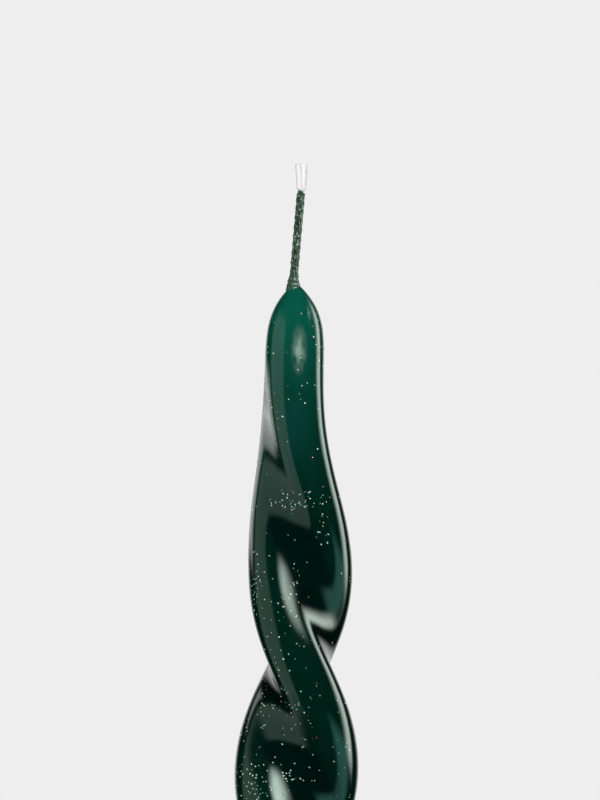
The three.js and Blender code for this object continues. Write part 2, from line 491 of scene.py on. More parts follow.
@dataclass(frozen=True)
class LacqueredWax:
    """Dark green over-dip under clear lacquer: deep, and a little milky and dull at the tip. Painted light
    and shade in its colour make it lighter green towards the tip, where light from above falls on the
    shoulder, and lighter along the section's edges than on its faces.

    The gloss is lost where the lacquer is wiped thin round the wick. A pale patch on the front of the upper
    body is painted partly as frosting where the wax has been touched and partly as a painted soft highlight.
    A span holds the value of the plain lacquer first."""

    # Painted light and shade: the section's edges get the lighter crest green, and its faces the darker face
    # green.
    thick_green: Colour = (0.0, 0.0076, 0.0054)
    deep_green: Colour = (0.0, 0.0178, 0.0102)
    crest_light_pull: float = 1.1
    cloud_pull: float = 0.15
    # Painted light: the green grows lighter towards the tip, standing for light from above on the shoulder.
    tip_green: Colour = (0.0035, 0.115, 0.076)
    tip_height: float = 240 * MM
    tip_light_reach: float = 60 * MM
    tip_light_fall: float = 1.75
    tip_light_strength: Span = (0.85, 1.1)
    teal: Colour = (0.0035, 0.07, 0.074)
    glaze: Colour = (0.8, 1.0, 0.88)
    clouds: Pattern = Pattern(9 * MM, detail=4.0, stretch=1.6, low=0.35, high=0.65)
    tints: Pattern = Pattern(16 * MM, detail=1.0, stretch=2.0, low=0.5, high=0.65)
    waves: Pattern = Pattern(6 * MM, detail=1.0, stretch=1.8)
    wave_depth: float = 0.05 * MM
    fine_waves: Pattern = Pattern(0.9 * MM, detail=2.0)
    fine_wave_depth: float = 0.002 * MM
    roughness: Span = (0.1, 0.2)
    dull_reach: float = 20 * MM
    gloss: Span = (0.5, 0.0)
    wiped_low: float = 224.8 * MM
    wiped_rise: float = 3.5 * MM
    wiped_left: float = -2.8 * MM
    wiped_right: float = 4.3 * MM
    wiped_slant: float = 0.1
    wiped_fade: float = 0.8 * MM
    # The pale patch on the upper front: partly frosting where the wax has been touched, partly a painted soft
    # highlight.
    bloom_colour: Colour = (0.25, 0.38, 0.32)
    bloom_x: float = 0.9 * MM
    bloom_height: float = 223.8 * MM
    bloom_width: float = 2.3 * MM
    bloom_length: float = 7 * MM
    bloom_spots: Pattern = Pattern(1.5 * MM, stretch=2.5)
    bloom_contrast: float = 3.2
    bloom_loss: float = 0.95

    def wiped(self, paint: Paint) -> Field:
        """Where the lacquer has been wiped thin: the front of the shoulder, round the wick.

        Args:
            paint: the material's node tree.

        Returns:
            How thin it is, from 0 to 1.
        """
        x, _, z = paint.position()
        up = z - self.wiped_low
        right = self.wiped_right - up * self.wiped_slant
        inside = ease((right - x) / self.wiped_fade) * ease((x - self.wiped_left) / self.wiped_fade)
        return ease(up / self.wiped_rise) * inside

    def bloom(self, paint: Paint) -> Field:
        """The pale patch on the front of the upper body: partly frosting where the wax has been touched,
        partly a painted soft highlight.

        Args:
            paint: the material's node tree.

        Returns:
            How strong it is, from 0 to 1.
        """
        x, y, z = paint.position()
        beside = size_of(x - self.bloom_x) / self.bloom_width
        along = size_of(z - self.bloom_height) / self.bloom_length
        # Only on the camera's side, where the painted highlight shows.
        patch = ease(1.0 - root(beside * beside + along * along)) * above(0.0, y)
        return share(patch * (paint.noise(self.bloom_spots) * self.bloom_contrast - self.bloom_loss))

    def build(self) -> bpy.types.Material:
        """Makes the material.

        Returns:
            The material.
        """
        paint = Paint("lacquered_green_wax")
        clouds = paint.spread(self.clouds)
        below_tip = self.tip_height - paint.height()
        # Painted light: tip is the share of the lighter tip green, rising towards the tip as light from above
        # would.
        tip = share(1.0 - below_tip / self.tip_light_reach) ** self.tip_light_fall
        # Painted light and shade: thin rises towards the section's edges, so the edges are painted lighter
        # green and the faces darker; the clouds break it up.
        thin = share(paint.stored("crest") * self.crest_light_pull - (1.0 - clouds) * self.cloud_pull)
        body = paint.mix(self.thick_green, self.deep_green, thin)
        body = paint.mix(body, self.tip_green, tip * between(*self.tip_light_strength, clouds))
        # The teal clouds are scaled by the same painted tip light.
        body = paint.mix(body, self.teal, paint.spread(self.tints) * tip)
        waves = paint.noise(self.waves) * (self.wave_depth / MM)
        paint.relief(waves + paint.noise(self.fine_waves) * (self.fine_wave_depth / MM), MM)
        paint.set(
            Base_Color=paint.mix(body, self.bloom_colour, self.bloom(paint)),
            Roughness=between(*self.roughness, ease(1.0 - below_tip / self.dull_reach)),
            Specular_IOR_Level=between(*self.gloss, self.wiped(paint)),
            IOR=1.52,
            Specular_Tint=self.glaze,
            Subsurface_Weight=0.2,
            Subsurface_Radius=(0.3, 1.0, 0.7),
            Subsurface_Scale=1.5 * MM,
        )
        return paint.material


@dataclass(frozen=True)
class PaleWax:
    """Undyed moulded wax of the core, with a cut and slightly chalky foot."""

    cream: Colour = (0.79, 0.72, 0.55)
    chalk: Colour = (0.87, 0.84, 0.74)
    clouds: Pattern = Pattern(4 * MM, detail=5.0, low=0.35, high=0.65)
    dents: Pattern = Pattern(4 * MM)
    scratches: Pattern = Pattern(0.3 * MM, detail=4.0)
    relief_depth: float = 0.03 * MM
    roughness: Span = (0.4, 0.6)

    def build(self) -> bpy.types.Material:
        """Makes the material.

        Returns:
            The material.
        """
        paint = Paint("pale_core_wax")
        clouds = paint.spread(self.clouds)
        paint.relief(paint.noise(self.scratches) + paint.noise(self.dents), self.relief_depth)
        paint.set(
            Base_Color=paint.mix(self.cream, self.chalk, clouds),
            Roughness=between(*self.roughness, clouds),
            Subsurface_Weight=0.5,
            Subsurface_Radius=(1.0, 0.7, 0.4),
            Subsurface_Scale=3 * MM,
        )
        return paint.material


@dataclass(frozen=True)
class CottonYarn:
    """Bleached cotton of the wick, stained green where the wax has crept up it."""

    white: Colour = (0.99, 0.99, 0.96)
    shade: Colour = (0.95, 0.95, 0.9)
    contrast: float = 1.6
    shade_share: float = 0.9
    stain: Colour = (0.03, 0.16, 0.08)
    stain_top: float = 261.6 * MM
    stain_fade: float = 0.7 * MM
    stain_wander: float = 2.0
    fibres: Pattern = Pattern(0.05 * MM, detail=4.0, stretch=6.0)
    fibre_depth: float = 0.004 * MM
    patches: Pattern = Pattern(0.6 * MM, detail=2.0)
    roughness: Span = (0.8, 1.0)

    def build(self) -> bpy.types.Material:
        """Makes the material.

        Returns:
            The material.
        """
        paint = Paint("plaited_cotton")
        fibres, patches = paint.noise(self.fibres), paint.noise(self.patches)
        dry = paint.mix(self.shade, self.white, share((fibres + patches) * self.contrast - self.shade_share))
        wander = (patches - 0.5) * self.stain_wander
        creep = (paint.height() - self.stain_top) / self.stain_fade + wander
        paint.relief(fibres, self.fibre_depth)
        paint.set(
            Base_Color=paint.mix(self.stain, dry, ease(creep)),
            Roughness=between(*self.roughness, fibres),
            Specular_IOR_Level=0.1,
            Subsurface_Weight=0.6,
            Subsurface_Radius=(1.0, 1.0, 0.9),
            Subsurface_Scale=0.5 * MM,
        )
        return paint.material


@dataclass(frozen=True)
class WickWax:
    """Thin green wax on the wick: dull and fibrous, with pale specks that are partly crazed, worn-through wax
    and partly painted glints on its lumps.
    """

    dark: Colour = (0.003, 0.028, 0.011)
    middle: Colour = (0.016, 0.072, 0.037)
    mottle: Pattern = Pattern(0.9 * MM, low=0.4, high=0.6)
    mottle_pull: float = 0.7
    foot_pull: float = 0.5
    foot_top: float = 240 * MM
    foot_fade: float = 4 * MM
    # Painted glint: the pale specks stand partly for crazed, worn wax and partly for highlights on the coat's
    # lumps.
    pale: Colour = (0.4, 0.52, 0.4)
    specks: Pattern = Pattern(0.4 * MM, stretch=2.0, roughness=0.6, low=0.55, high=0.62)
    speck_strength: Span = (0.7, 0.2)
    ridge_glint_pull: float = 0.01
    pits: Pattern = Pattern(0.4 * MM)
    fibres: Pattern = Pattern(0.12 * MM, stretch=5.0)
    fibre_share: float = 0.5
    relief_depth: float = 0.07 * MM
    roughness: Span = (0.3, 0.6)

    def build(self) -> bpy.types.Material:
        """Makes the material.

        Returns:
            The material.
        """
        paint = Paint("waxed_wick_green")
        mottle = paint.spread(self.mottle)
        # The specks grow a little on the ridges where the strands bulge, as painted glints would.
        crazed = paint.noise(self.specks) + paint.stored("ridge") * self.ridge_glint_pull
        specks = ramp(crazed, self.specks.low, self.specks.high)
        foot = 1.0 - ease((paint.height() - self.foot_top) / self.foot_fade)
        body = paint.mix(self.dark, self.middle, share(mottle * self.mottle_pull + foot * self.foot_pull))
        grain = paint.noise(self.fibres) * self.fibre_share + paint.noise(self.pits)
        paint.relief(grain, self.relief_depth)
        paint.set(
            Base_Color=paint.mix(body, self.pale, specks * between(*self.speck_strength, foot)),
            Roughness=between(*self.roughness, mottle),
            Coat_Weight=0.25,
            Coat_Roughness=0.25,
            Subsurface_Weight=0.2,
            Subsurface_Scale=0.4 * MM,
        )
        return paint.material


@dataclass(frozen=True)
class GlitterFoil:
    """Foil flakes under the lacquer: mostly silver, with other foils from given shares of the flakes on. The
    foils are given as bright colours on a surface that is barely metal, so every flake shows pale under the
    soft front light: painted glints.
    """

    silver: Colour = (0.9, 0.95, 0.92)
    green: Colour = (0.45, 0.85, 0.66)
    green_from: float = 0.6
    teal: Colour = (0.1, 0.55, 0.55)
    teal_from: float = 0.91
    gold: Colour = (0.8, 0.55, 0.15)
    gold_from: float = 0.965
    red: Colour = (0.6, 0.08, 0.05)
    red_from: float = 0.988
    smears: Pattern = Pattern(0.2 * MM, detail=2.0)
    dents: Pattern = Pattern(0.15 * MM, detail=2.0)
    dent_depth: float = 0.01 * MM
    roughness: Span = (0.16, 0.3)

    def build(self) -> bpy.types.Material:
        """Makes the material.

        Returns:
            The material.
        """
        paint = Paint("glitter_foil")
        tone = paint.stored("tone")
        colour = paint.mix(self.silver, self.green, above(tone, self.green_from))
        colour = paint.mix(colour, self.teal, above(tone, self.teal_from))
        colour = paint.mix(colour, self.gold, above(tone, self.gold_from))
        colour = paint.mix(colour, self.red, above(tone, self.red_from))
        paint.relief(paint.noise(self.dents), self.dent_depth)
        paint.set(
            Base_Color=colour,
            Roughness=between(*self.roughness, paint.noise(self.smears)),
            # Painted glint: barely metal, so the bright foil colours show as diffuse paint from every side.
            Metallic=0.1,
            Coat_Weight=1.0,
            Coat_Roughness=0.03,
        )
        return paint.material


# The candle's sub-assemblies


@dataclass(frozen=True)
class TaperForm:
    """The rule of the candle's outside: a rod rolled flat by degrees and twisted to the left, with a round
    shoulder at the top and a round shank at the foot."""

    body_height: float = 240 * MM
    tip_radius: float = 6.63 * MM
    body_radius: float = 13.1 * MM
    taper_length: float = 180 * MM
    shoulder_height: float = 22 * MM
    shoulder_power: float = 4.0
    flattened_ratio: float = 0.6
    flatten_length: float = 59.3 * MM
    face_crown: float = 0.01
    face_hollow: float = 0.223
    edge_crowding: float = 0.6
    twist_length: float = 97.85 * MM
    twist_lead: float = 13.4 * MM
    twist_ease: float = 109 * MM
    crest_angle: float = math.radians(84.5)
    shank_radius: float = 11 * MM
    shank_height: float = 22 * MM
    shank_blend: float = 30 * MM
    slimming: float = 0.175 * MM
    slim_depth: float = 126 * MM
    slim_length: float = 30 * MM
    left_bow_depth: float = 39 * MM
    left_bow_reach: float = 34 * MM
    left_bow_offset: float = -0.98 * MM
    right_bow_depth: float = 72 * MM
    right_bow_reach: float = 66 * MM
    right_bow_offset: float = 1.2 * MM

    def bow(self, tree: ShapeTree, side: str, depth: Field) -> Field:
        """How far the body stands along X for the bow that the sizes name left or right."""
        away = share(size_of(depth - tree[side + "_bow_depth"]) / tree[side + "_bow_reach"])
        return tree[side + "_bow_offset"] * cosine(away * (TURN / 4)) ** 2.0

    def centre(self, tree: ShapeTree, depth: Field) -> Field:
        """Where the body's middle stands along X at a depth."""
        return self.bow(tree, "left", depth) + self.bow(tree, "right", depth)

    def gathered(self, depth: Field, length: Field) -> Field:
        """Length twisted so far, where the twist takes a length to reach its full rate."""
        part = share(depth / length)
        return length * (part ** 3.0 - part ** 4.0 / 2.0) + no_less(depth - length, 0.0)

    def section(self, tree: ShapeTree, depth: Field, around: Field, inset: Field) -> tuple[Field, Field]:
        """The point of the cross-section at a depth.

        Args:
            tree: the tree that holds the sizes.
            depth: how far down the body.
            around: the angle round the section, from its crest.
            inset: how far inside the outer surface.

        Returns:
            The point's X and Y.
        """
        shank_start = tree["body_height"] - tree["shank_height"] - tree["shank_blend"]
        foot = ease((depth - shank_start) / tree["shank_blend"])
        swell = sine(share(depth / tree["taper_length"]) * (TURN / 4))
        slim = ease((depth - tree["slim_depth"]) / tree["slim_length"]) * tree["slimming"]
        taper = between(tree["tip_radius"], tree["body_radius"], swell) - slim
        rod = between(taper, tree["shank_radius"], foot)
        flattened = ease(depth / tree["flatten_length"]) * (1.0 - foot)
        ratio = between(1.0, tree["flattened_ratio"], flattened)
        corners = 4.0 - math.pi
        half_width = rod * root(math.pi / (4.0 * ratio - corners * ratio * ratio))
        half_length = half_width * (1.0 - ratio) / (1.0 - tree["face_crown"])
        edge_radius = half_width - half_length - inset
        even = around - tree["edge_crowding"] * sine(around * 4.0) / 4.0
        across, over = cosine(even), sine(even)
        flat = root(tree["face_crown"])
        to_edge = root(across * across + tree["face_crown"] * over * over)
        to_face = root(tree["face_crown"] * across * across + over * over)
        below_top = share((depth - inset) / tree["shoulder_height"])
        rounding = 1.0 - (1.0 - below_top) ** tree["shoulder_power"]
        long_way = half_length * across / to_edge + edge_radius * flat * across / to_face
        thick_way = tree["face_crown"] * half_length * flat * over / to_edge + edge_radius * over / to_face
        mid_face = (1.0 - share((long_way / half_width) ** 2.0)) ** 2.0
        hollow = tree["face_hollow"] * half_length * mid_face * over / to_face
        outward = rounding * long_way
        sideways = rounding * (thick_way - hollow)
        twisted = self.gathered(depth + tree["twist_lead"], tree["twist_ease"])
        turned = tree["crest_angle"] + twisted * TURN / tree["twist_length"]
        x = self.centre(tree, depth) + outward * cosine(turned) - sideways * sine(turned)
        y = outward * sine(turned) + sideways * cosine(turned)
        return x, y


@dataclass(frozen=True)
class WickLine:
    """The rule of the wick: where its middle runs, and how its three strands cross."""

    exposed: float = 28.4 * MM
    bare_tip: float = 7.1 * MM
    foot_recess: float = 0.5 * MM
    strand_radius: float = 0.26 * MM
    plait_length: float = 6.4 * MM
    buried_plait_length: float = 30 * MM
    plait_swing: float = 0.497 * MM
    plait_depth: float = 0.417 * MM
    swell_length: float = 1.4 * MM
    bundle_radius: float = 0.57 * MM
    brush_radius: float = 0.78 * MM
    bundle_turn: float = math.radians(-10)
    wick_offset: float = -0.5 * MM
    offset_fade: float = 40 * MM
    wick_lean: float = 0.086
    hook_height: float = 10 * MM
    wick_hook: float = 0.74 * MM

    def middle(self, tree: ShapeTree, form: TaperForm, height: Field) -> Field:
        """Where the wick's middle stands along X.

        Args:
            tree: the tree that holds the sizes.
            form: the rule of the candle's outside.
            height: the height above the shoulder, or below it in the wax.

        Returns:
            The place along X.
        """
        depth = no_less(-height, 0.0)
        free = no_less(height, 0.0)
        fade = 1.0 - ease(depth / tree["offset_fade"])
        hooked = no_less(free - (tree["exposed"] - tree["hook_height"]), 0.0)
        hook = (hooked / tree["hook_height"]) ** 2.0 * tree["wick_hook"]
        return form.centre(tree, depth) + tree["wick_offset"] * fade + free * tree["wick_lean"] - hook

    def strand(self, tree: ShapeTree, height: Field, turn: float, length: Field) -> tuple[Field, Field]:
        """How far a strand's middle is from the wick's in X and Y, for its turn and the plait's length."""
        phase = (height / length + turn) * TURN
        return tree["plait_swing"] * sine(phase), tree["plait_depth"] * sine(phase * 2.0)

    def bare(self, tree: ShapeTree, height: Field) -> tuple[Field, Field]:
        """How far the cotton has swollen above the wax, and how far it has come to its end, from 0 to 1."""
        over = height - (tree["exposed"] - tree["bare_tip"])
        return ease(over / tree["swell_length"]), share(over / tree["bare_tip"])


@dataclass
class DyedSkin:
    """The dark green over-dip, from the wick down to just above the foot."""

    form: TaperForm = field(default_factory=TaperForm)
    sides: int = 128
    outer_rows: int = 420
    inner_rows: int = 60
    skin_thickness: float = 1 * MM
    foot_gap: float = 1 * MM
    opening_depth: float = 0.95 * MM
    top_crowding: float = 0.5
    finish: LacqueredWax = LacqueredWax()

    def build(self) -> bpy.types.Object:
        """Makes the skin as one closed wall and dresses it.

        Returns:
            The finished piece.
        """
        tree = ShapeTree("twisted_skin", self.form, self)
        sheet = tree.sheet()
        down, up = share(sheet.outer_part), share(sheet.inner_part)
        crowded = down * (1.0 - tree["top_crowding"]) + down ** 2.0 * tree["top_crowding"]
        part = between(crowded, up, sheet.returning)
        inset = sheet.inside * tree["skin_thickness"]
        top = tree["opening_depth"] + inset
        depth = between(top, tree["body_height"] - tree["foot_gap"], part)
        x, y = self.form.section(tree, depth, sheet.around, inset)
        place = tree.vector(x, y, tree["body_height"] - depth)
        # crest is 1 on the section's edges and 0 on its faces; the finish uses it to paint the edges lighter
        # green and the faces darker, as painted light and shade.
        wall = tree.kept(sheet.grid, "crest", cosine(sheet.around) ** 2.0)
        wall = tree.kept(wall, "outside", 1.0 - sheet.inside)
        outward = tree.made("GeometryNodeFlipFaces", Mesh=tree.bent(wall, place))
        tree.finish(outward, self.finish.build())
        piece = tree.make("dyed_skin_wax")
        settle(piece, "skin_wax", ("dyed_skin",))
        return piece


@dataclass
class WaxCore:
    """The moulded core of pale wax. Its CAD solid is right as it is, and shows only at the foot."""

    node: str = "wax_core"
    finish: PaleWax = PaleWax()

    def build(self) -> bpy.types.Object:
        """Dresses the CAD node.

        Returns:
            The node's object.
        """
        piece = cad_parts[self.node]
        material = self.finish.build()
        for slot in piece.material_slots:
            slot.material = material
        LOG.info("%s: kept from the frame, new finish", self.node)
        return piece


class Strand(Enum):
    """The three cotton strands of the plait, with their place in it in turns."""

    A = 0.0
    B = 1 / 3
    C = 2 / 3

    @property
    def node(self) -> str:
        """The CAD node that the strand stands for."""
        return "wick_strand_" + self.name.lower()


@dataclass
class PlaitedWick:
    """Three strands of twisted cotton yarn, plaited, from the foot to the bare tip."""

    form: TaperForm = field(default_factory=TaperForm)
    line: WickLine = field(default_factory=WickLine)
    yarns: int = 5
    yarn_sides: int = 30
    yarn_groove: float = 0.04
    yarn_turns: float = 0.3 / MM
    rings: int = 460
    buried_share: float = 0.34
    cut_back: float = 0.12 * MM
    packing: float = 1.1
    finish: CottonYarn = CottonYarn()

    def strand(self, which: Strand, material: bpy.types.Material) -> bpy.types.Object:
        """Makes one strand as a twisted, grooved yarn swept along its place in the plait.

        Args:
            which: the strand.
            material: the cotton's finish.

        Returns:
            The finished piece.
        """
        tree = ShapeTree("plait_" + which.name.lower(), self.form, self.line, self)
        line = tree.made("GeometryNodeCurvePrimitiveLine")
        line = tree.made("GeometryNodeResampleCurve", Curve=line, Count=tree["rings"])
        part = Field(tree.node("GeometryNodeSplineParameter").outputs["Index"]) / (tree["rings"] - 1.0)
        buried = tree["buried_share"]
        below = (tree["body_height"] - tree["foot_recess"]) * (share(part / buried) - 1.0)
        cut_end = tree["exposed"] - tree["cut_back"] * (1.0 + which.value)
        height = below + cut_end * share((part - buried) / (1.0 - buried))
        swollen, to_end = self.line.bare(tree, height)
        brush = between(tree["bundle_radius"], tree["brush_radius"], to_end)
        girth = between(tree["strand_radius"], brush, swollen)
        packed = girth * tree["packing"]
        side = tree["bundle_turn"] + which.value * TURN
        loose = self.line.strand(tree, height, which.value, tree["plait_length"])
        held = self.line.strand(tree, height, which.value, tree["buried_plait_length"])
        free = above(height, 0.0)
        across = between(between(held[0], loose[0], free), packed * cosine(side), swollen)
        deep = between(between(held[1], loose[1], free), packed * sine(side), swollen)
        x = self.line.middle(tree, self.form, height) + across
        place = tree.vector(x, deep, tree["body_height"] + height)
        line = tree.made("GeometryNodeSetPosition", Geometry=line, Position=place)
        line = tree.made("GeometryNodeSetCurveTilt", Curve=line, Tilt=height * tree["yarn_turns"] * TURN)
        ring = tree.made("GeometryNodeCurvePrimitiveCircle", Resolution=tree["yarn_sides"], Radius=1.0)
        ring_x, ring_y, _ = tree.position()
        angle = calculate("ARCTAN2", ring_y, ring_x)
        lobe = 1.0 - tree["yarn_groove"] * (1.0 - size_of(cosine(angle * tree["yarns"] * 0.5)))
        grooved = tree.vector(ring_x * lobe, ring_y * lobe, 0.0)
        ring = tree.made("GeometryNodeSetPosition", Geometry=ring, Position=grooved)
        swept = {"Curve": line, "Profile_Curve": ring, "Scale": girth, "Fill_Caps": True}
        tree.finish(tree.made("GeometryNodeCurveToMesh", **swept), material)
        piece = tree.make(which.node + "_yarn")
        settle(piece, "cotton", (which.node,))
        return piece

    def build(self) -> list[bpy.types.Object]:
        """Makes the three strands of one finish."""
        material = self.finish.build()
        return [self.strand(which, material) for which in Strand]


@dataclass
class WickWaxCoat:
    """The green wax on the exposed wick, which follows the plait's bumps and flares at the shoulder."""

    form: TaperForm = field(default_factory=TaperForm)
    line: WickLine = field(default_factory=WickLine)
    sides: int = 56
    outer_rows: int = 300
    inner_rows: int = 20
    foot_height: float = -3.88 * MM
    bore_radius: float = 0.817 * MM
    least_radius: float = 0.95 * MM
    strand_reach: float = 0.53 * MM
    relief_blend: float = 0.3 * MM
    flare_low: float = -2.6 * MM
    flare_top: float = 2.6 * MM
    flare: float = 0.85 * MM
    ring_spacing: float = 1.15 * MM
    ring_depth: float = 0.06 * MM
    ring_span: float = 2.4 * MM
    ring_wander: float = 1.4
    lump_size: float = 0.5 * MM
    lump_depth: float = 0.34 * MM
    lump_layers: float = 3.0
    ridge_low: float = -0.1 * MM
    ridge_rise: float = 0.3 * MM
    finish: WickWax = WickWax()

    def radius(self, tree: ShapeTree, height: Field, around: Field) -> Field:
        """How far the wax stands from the wick's middle.

        Args:
            tree: the tree that holds the sizes.
            height: the height above the shoulder.
            around: the angle round the wick.

        Returns:
            The distance.
        """
        reach = tree["least_radius"]
        for which in Strand:
            x, y = self.line.strand(tree, height, which.value, tree["plait_length"])
            ahead = x * cosine(around) + y * sine(around)
            beside = y * cosine(around) - x * sine(around)
            bulge = ahead + root(tree["strand_reach"] ** 2.0 - beside * beside)
            reach = calculate("SMOOTH_MAX", reach, bulge, tree["relief_blend"])
        flared = 1.0 - ease((height - tree["flare_low"]) / (tree["flare_top"] - tree["flare_low"]))
        near = 1.0 - ease(size_of(height) / tree["ring_span"])
        rings = sine(height * TURN / tree["ring_spacing"] + sine(around) * tree["ring_wander"]) * near
        place = tree.vector(cosine(around) * MM, sine(around) * MM, height)
        layers = {"Scale": 1.0 / tree["lump_size"], "Detail": tree["lump_layers"]}
        uneven = (tree.made("ShaderNodeTexNoise", Vector=place, **layers) - 0.5) * tree["lump_depth"]
        return reach + tree["flare"] * flared + rings * tree["ring_depth"] + uneven

    def build(self) -> bpy.types.Object:
        """Makes the coat as one closed tube and dresses it.

        Returns:
            The finished piece.
        """
        tree = ShapeTree("wick_coat", self.form, self.line, self)
        sheet = tree.sheet()
        part = between(sheet.outer_part, sheet.inner_part, sheet.returning)
        height = between(tree["foot_height"], tree["exposed"] - tree["bare_tip"], part)
        radius = between(self.radius(tree, height, sheet.around), tree["bore_radius"], sheet.inside)
        x = self.line.middle(tree, self.form, height) + radius * cosine(sheet.around)
        place = tree.vector(x, radius * sine(sheet.around), tree["body_height"] + height)
        ridge = share((radius - tree["least_radius"] - tree["ridge_low"]) / tree["ridge_rise"])
        wall = tree.bent(tree.kept(sheet.grid, "ridge", ridge), place)
        tree.finish(wall, self.finish.build())
        piece = tree.make("wick_wax_coat")
        settle(piece, "wick_wax", ("wick_wax_sleeve",))
        return piece


@dataclass(frozen=True)
class Spill:
    """A place on the candle's front where more glitter has landed."""

    x: float
    height: float
    width: float
    length: float
    strength: float


@dataclass
class Glitter:
    """Foil flakes strewn on the wet lacquer, thicker in some places than in others."""

    seed: int = 11
    density: float = 330000.0
    flake_sides: int = 6
    flake_radius: float = 0.2 * MM
    flake_thickness: float = 0.02 * MM
    least_scale: float = 0.5
    most_scale: float = 1.2
    tilt: float = math.radians(28)
    drift_size: float = 26 * MM
    drift_layers: float = 2.0
    drift_low: float = 0.45
    drift_rise: float = 0.2
    drift_strength: float = 0.5
    strewn_all_over: float = 0.1
    outside_limit: float = 0.9
    spills: tuple[Spill, ...] = (
        Spill(x=0.5 * MM, height=188 * MM, width=11 * MM, length=3.4 * MM, strength=2.2),
        Spill(x=6.5 * MM, height=183 * MM, width=1.6 * MM, length=7 * MM, strength=1.6),
        Spill(x=-9.5 * MM, height=168 * MM, width=2.5 * MM, length=8 * MM, strength=2.0),
        Spill(x=-2 * MM, height=166 * MM, width=4 * MM, length=11 * MM, strength=1.1),
        Spill(x=-6 * MM, height=137 * MM, width=7 * MM, length=6 * MM, strength=1.0),
        Spill(x=-8 * MM, height=119 * MM, width=9 * MM, length=9 * MM, strength=1.3),
    )
    finish: GlitterFoil = GlitterFoil()

    def thickness(self, tree: ShapeTree) -> Field:
        """How thickly the flakes lie, as a share of the density.

        Args:
            tree: the tree that holds the sizes.

        Returns:
            The share, which the spills take past 1.
        """
        layers = {"Scale": 1.0 / tree["drift_size"], "Detail": tree["drift_layers"]}
        drift = tree.made("ShaderNodeTexNoise", Vector=tree.made("GeometryNodeInputPosition"), **layers)
        drifted = share((drift - tree["drift_low"]) / tree["drift_rise"]) ** 2.0
        thick = drifted * tree["drift_strength"] + tree["strewn_all_over"]
        x, y, z = tree.position()
        for spill in self.spills:
            beside = (x - spill.x) / spill.width
            along = (z - spill.height) / spill.length
            away = beside * beside + along * along
            thick = thick + spill.strength * ease(1.0 - away) * above(0.0, y)
        return thick

    def flake(self, tree: ShapeTree) -> Field:
        """One flake, a thin disc with a few sides."""
        sizes = {"Radius": tree["flake_radius"], "Depth": tree["flake_thickness"]}
        return tree.made("GeometryNodeMeshCylinder", Vertices=tree["flake_sides"], **sizes)

    def drawn(self, tree: ShapeTree, step: float, least: Value, most: Value) -> Field:
        """A random number for each flake, from least to most, drawn with the seed moved on by a step."""
        limits = {"Min_001": least, "Max_001": most, "Seed": tree["seed"] + step}
        return Field(tree.node("FunctionNodeRandomValue", {"data_type": "FLOAT"}, **limits).outputs[1])

    def build(self, skin: bpy.types.Object) -> bpy.types.Object:
        """Strews the flakes over the skin's outside.

        Args:
            skin: the finished skin.

        Returns:
            The finished piece.
        """
        tree = ShapeTree("strewn_glitter", self, reads_mesh=True)
        outside = tree.made("GeometryNodeInputNamedAttribute", {"data_type": "FLOAT"}, Name="outside")
        points = tree.node(
            "GeometryNodeDistributePointsOnFaces",
            {"distribute_method": "RANDOM"},
            Mesh=Field(tree.inputs.outputs["Geometry"]),
            Density=tree["density"] * self.thickness(tree) * above(outside, tree["outside_limit"]),
            Seed=tree["seed"],
        )
        lean = tree.made(
            "FunctionNodeRandomValue",
            {"data_type": "FLOAT_VECTOR"},
            Min=tree.vector(-tree["tilt"], -tree["tilt"], -math.pi),
            Max=tree.vector(tree["tilt"], tree["tilt"], math.pi),
            Seed=tree["seed"] + 1.0,
        )
        turned = tree.made(
            "FunctionNodeRotateRotation",
            {"rotation_space": "LOCAL"},
            Rotation=Field(points.outputs["Rotation"]),
            Rotate_By=tree.made("FunctionNodeEulerToRotation", Euler=lean),
        )
        strewn = tree.made(
            "GeometryNodeInstanceOnPoints",
            Points=Field(points.outputs["Points"]),
            Instance=self.flake(tree),
            Rotation=turned,
            Scale=self.drawn(tree, 2.0, tree["least_scale"], tree["most_scale"]),
        )
        tone = self.drawn(tree, 3.0, 0.0, 1.0)
        tree.finish(tree.kept(strewn, "tone", tone, "INSTANCE"), self.finish.build())
        piece = tree.make("glitter_flakes", host=skin.data, crease=20.0)
        settle(piece, "skin_wax")
        return piece


# The studio


class Effect(Enum):
    """What a light does to the candle."""

    MIRRORED = "shows in the gloss"
    SOFT = "lights the colours"


